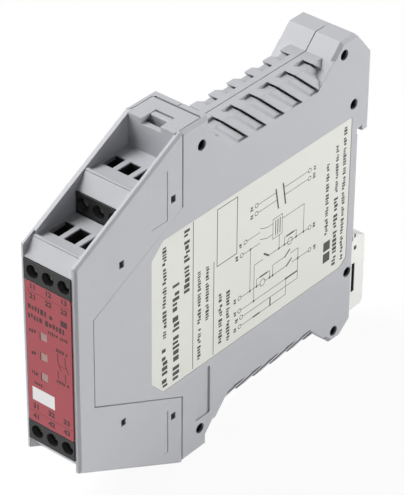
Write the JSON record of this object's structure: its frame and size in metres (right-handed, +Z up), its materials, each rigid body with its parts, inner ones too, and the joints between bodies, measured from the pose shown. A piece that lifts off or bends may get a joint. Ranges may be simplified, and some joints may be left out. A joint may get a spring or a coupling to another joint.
{
  "type": "safety relay module",
  "caption": "Slim grey rail-mounted safety relay with stepped screw terminals top and bottom, red front plate, louvred vents and a spring latch.",
  "frame": {"origin": "centre of the face that rests against the rail, at mid width and mid height", "axes": "+X across the width to the labelled side, +Y rearwards into the rail, +Z up"},
  "size_m": [0.0176, 0.115, 0.1],
  "materials": {
    "grey_housing": "moulded light grey, faintly grained",
    "terminal_plastic": "moulded near-black",
    "screw_steel": "zinc plated",
    "clamp_steel": "zinc plated",
    "contact_copper": "tinned",
    "front_red": "printed red, satin",
    "light_guide": "clear, slightly tinted",
    "label_film": "printed film, satin",
    "latch_plastic": "moulded white",
    "spring_steel": "drawn wire",
    "board": "green solder mask",
    "relay_base": "moulded black",
    "relay_case": "moulded amber",
    "capacitor_sleeve": "shrunk sleeve",
    "component_plastic": "moulded black",
    "led_body": "clear resin"
  },
  "bodies": {
    "housing": {"right_shell": "grey_housing", "left_shell": "grey_housing", "terminal_housing": "grey_housing", "terminal_block_top_front": "terminal_plastic", "terminal_block_top_rear": "terminal_plastic", "terminal_block_bottom_front": "terminal_plastic", "terminal_block_bottom_rear": "terminal_plastic", "contact_strip_top_front_left": "contact_copper", "contact_strip_top_front_mid": "contact_copper", "contact_strip_top_front_right": "contact_copper", "contact_strip_top_rear_left": "contact_copper", "contact_strip_top_rear_mid": "contact_copper", "contact_strip_top_rear_right": "contact_copper", "contact_strip_bottom_front_left": "contact_copper", "contact_strip_bottom_front_mid": "contact_copper", "contact_strip_bottom_front_right": "contact_copper", "contact_strip_bottom_rear_left": "contact_copper", "contact_strip_bottom_rear_mid": "contact_copper", "contact_strip_bottom_rear_right": "contact_copper", "front_plate": "front_red", "light_guide": "light_guide", "side_label": "label_film", "latch_spring": "spring_steel", "main_board": "board", "relay_base_top": "relay_base", "relay_case_top": "relay_case", "relay_base_bottom": "relay_base", "relay_case_bottom": "relay_case", "supply_capacitor": "capacitor_sleeve", "bridge_rectifier": "component_plastic", "control_chip": "component_plastic", "indicator_led_1": "led_body", "indicator_led_2": "led_body", "indicator_led_3": "led_body"},
    "rail_latch": {"rail_latch": "latch_plastic"},
    "screw_top_front_left": {"terminal_screw_top_front_left": "screw_steel"},
    "clamp_top_front_left": {"clamp_cage_top_front_left": "clamp_steel"},
    "screw_top_front_mid": {"terminal_screw_top_front_mid": "screw_steel"},
    "clamp_top_front_mid": {"clamp_cage_top_front_mid": "clamp_steel"},
    "screw_top_front_right": {"terminal_screw_top_front_right": "screw_steel"},
    "clamp_top_front_right": {"clamp_cage_top_front_right": "clamp_steel"},
    "screw_top_rear_left": {"terminal_screw_top_rear_left": "screw_steel"},
    "clamp_top_rear_left": {"clamp_cage_top_rear_left": "clamp_steel"},
    "screw_top_rear_mid": {"terminal_screw_top_rear_mid": "screw_steel"},
    "clamp_top_rear_mid": {"clamp_cage_top_rear_mid": "clamp_steel"},
    "screw_top_rear_right": {"terminal_screw_top_rear_right": "screw_steel"},
    "clamp_top_rear_right": {"clamp_cage_top_rear_right": "clamp_steel"},
    "screw_bottom_front_left": {"terminal_screw_bottom_front_left": "screw_steel"},
    "clamp_bottom_front_left": {"clamp_cage_bottom_front_left": "clamp_steel"},
    "screw_bottom_front_mid": {"terminal_screw_bottom_front_mid": "screw_steel"},
    "clamp_bottom_front_mid": {"clamp_cage_bottom_front_mid": "clamp_steel"},
    "screw_bottom_front_right": {"terminal_screw_bottom_front_right": "screw_steel"},
    "clamp_bottom_front_right": {"clamp_cage_bottom_front_right": "clamp_steel"},
    "screw_bottom_rear_left": {"terminal_screw_bottom_rear_left": "screw_steel"},
    "clamp_bottom_rear_left": {"clamp_cage_bottom_rear_left": "clamp_steel"},
    "screw_bottom_rear_mid": {"terminal_screw_bottom_rear_mid": "screw_steel"},
    "clamp_bottom_rear_mid": {"clamp_cage_bottom_rear_mid": "clamp_steel"},
    "screw_bottom_rear_right": {"terminal_screw_bottom_rear_right": "screw_steel"},
    "clamp_bottom_rear_right": {"clamp_cage_bottom_rear_right": "clamp_steel"}
  },
  "joints": [
    {"name": "rail_latch_slide", "type": "slide", "parent": "housing", "child": "rail_latch", "axis": [0, 0, -1], "range_m": [0, 0.003], "stiffness_N_per_m": 900, "springref_m": -0.0005, "deforming": ["latch_spring"]},
    {"name": "screw_turn_top_front_left", "type": "hinge", "parent": "housing", "child": "screw_top_front_left", "pos_m": [-0.005, -0.1066, 0.024], "axis": [0, 1, 0], "range_deg": [0, 2160]},
    {"name": "clamp_slide_top_front_left", "type": "slide", "parent": "housing", "child": "clamp_top_front_left", "axis": [0, -1, 0], "range_m": [0, 0.0027]},
    {"name": "screw_turn_top_front_mid", "type": "hinge", "parent": "housing", "child": "screw_top_front_mid", "pos_m": [0, -0.1066, 0.024], "axis": [0, 1, 0], "range_deg": [0, 2160]},
    {"name": "clamp_slide_top_front_mid", "type": "slide", "parent": "housing", "child": "clamp_top_front_mid", "axis": [0, -1, 0], "range_m": [0, 0.0027]},
    {"name": "screw_turn_top_front_right", "type": "hinge", "parent": "housing", "child": "screw_top_front_right", "pos_m": [0.005, -0.1066, 0.024], "axis": [0, 1, 0], "range_deg": [0, 2160]},
    {"name": "clamp_slide_top_front_right", "type": "slide", "parent": "housing", "child": "clamp_top_front_right", "axis": [0, -1, 0], "range_m": [0, 0.0027]},
    {"name": "screw_turn_top_rear_left", "type": "hinge", "parent": "housing", "child": "screw_top_rear_left", "pos_m": [-0.005, -0.0885, 0.0338], "axis": [0, 1, 0], "range_deg": [0, 2160]},
    {"name": "clamp_slide_top_rear_left", "type": "slide", "parent": "housing", "child": "clamp_top_rear_left", "axis": [0, -1, 0], "range_m": [0, 0.0027]},
    {"name": "screw_turn_top_rear_mid", "type": "hinge", "parent": "housing", "child": "screw_top_rear_mid", "pos_m": [0, -0.0885, 0.0338], "axis": [0, 1, 0], "range_deg": [0, 2160]},
    {"name": "clamp_slide_top_rear_mid", "type": "slide", "parent": "housing", "child": "clamp_top_rear_mid", "axis": [0, -1, 0], "range_m": [0, 0.0027]},
    {"name": "screw_turn_top_rear_right", "type": "hinge", "parent": "housing", "child": "screw_top_rear_right", "pos_m": [0.005, -0.0885, 0.0338], "axis": [0, 1, 0], "range_deg": [0, 2160]},
    {"name": "clamp_slide_top_rear_right", "type": "slide", "parent": "housing", "child": "clamp_top_rear_right", "axis": [0, -1, 0], "range_m": [0, 0.0027]},
    {"name": "screw_turn_bottom_front_left", "type": "hinge", "parent": "housing", "child": "screw_bottom_front_left", "pos_m": [-0.005, -0.1066, -0.024], "axis": [0, 1, 0], "range_deg": [0, 2160]},
    {"name": "clamp_slide_bottom_front_left", "type": "slide", "parent": "housing", "child": "clamp_bottom_front_left", "axis": [0, -1, 0], "range_m": [0, 0.0027]},
    {"name": "screw_turn_bottom_front_mid", "type": "hinge", "parent": "housing", "child": "screw_bottom_front_mid", "pos_m": [0, -0.1066, -0.024], "axis": [0, 1, 0], "range_deg": [0, 2160]},
    {"name": "clamp_slide_bottom_front_mid", "type": "slide", "parent": "housing", "child": "clamp_bottom_front_mid", "axis": [0, -1, 0], "range_m": [0, 0.0027]},
    {"name": "screw_turn_bottom_front_right", "type": "hinge", "parent": "housing", "child": "screw_bottom_front_right", "pos_m": [0.005, -0.1066, -0.024], "axis": [0, 1, 0], "range_deg": [0, 2160]},
    {"name": "clamp_slide_bottom_front_right", "type": "slide", "parent": "housing", "child": "clamp_bottom_front_right", "axis": [0, -1, 0], "range_m": [0, 0.0027]},
    {"name": "screw_turn_bottom_rear_left", "type": "hinge", "parent": "housing", "child": "screw_bottom_rear_left", "pos_m": [-0.005, -0.0885, -0.0338], "axis": [0, 1, 0], "range_deg": [0, 2160]},
    {"name": "clamp_slide_bottom_rear_left", "type": "slide", "parent": "housing", "child": "clamp_bottom_rear_left", "axis": [0, -1, 0], "range_m": [0, 0.0027]},
    {"name": "screw_turn_bottom_rear_mid", "type": "hinge", "parent": "housing", "child": "screw_bottom_rear_mid", "pos_m": [0, -0.0885, -0.0338], "axis": [0, 1, 0], "range_deg": [0, 2160]},
    {"name": "clamp_slide_bottom_rear_mid", "type": "slide", "parent": "housing", "child": "clamp_bottom_rear_mid", "axis": [0, -1, 0], "range_m": [0, 0.0027]},
    {"name": "screw_turn_bottom_rear_right", "type": "hinge", "parent": "housing", "child": "screw_bottom_rear_right", "pos_m": [0.005, -0.0885, -0.0338], "axis": [0, 1, 0], "range_deg": [0, 2160]},
    {"name": "clamp_slide_bottom_rear_right", "type": "slide", "parent": "housing", "child": "clamp_bottom_rear_right", "axis": [0, -1, 0], "range_m": [0, 0.0027]}
  ],
  "couplings": [
    {"joint": "screw_turn_top_front_left", "follows": "clamp_slide_top_front_left", "rad_per_m": 13963},
    {"joint": "screw_turn_top_front_mid", "follows": "clamp_slide_top_front_mid", "rad_per_m": 13963},
    {"joint": "screw_turn_top_front_right", "follows": "clamp_slide_top_front_right", "rad_per_m": 13963},
    {"joint": "screw_turn_top_rear_left", "follows": "clamp_slide_top_rear_left", "rad_per_m": 13963},
    {"joint": "screw_turn_top_rear_mid", "follows": "clamp_slide_top_rear_mid", "rad_per_m": 13963},
    {"joint": "screw_turn_top_rear_right", "follows": "clamp_slide_top_rear_right", "rad_per_m": 13963},
    {"joint": "screw_turn_bottom_front_left", "follows": "clamp_slide_bottom_front_left", "rad_per_m": 13963},
    {"joint": "screw_turn_bottom_front_mid", "follows": "clamp_slide_bottom_front_mid", "rad_per_m": 13963},
    {"joint": "screw_turn_bottom_front_right", "follows": "clamp_slide_bottom_front_right", "rad_per_m": 13963},
    {"joint": "screw_turn_bottom_rear_left", "follows": "clamp_slide_bottom_rear_left", "rad_per_m": 13963},
    {"joint": "screw_turn_bottom_rear_mid", "follows": "clamp_slide_bottom_rear_mid", "rad_per_m": 13963},
    {"joint": "screw_turn_bottom_rear_right", "follows": "clamp_slide_bottom_rear_right", "rad_per_m": 13963}
  ]
}
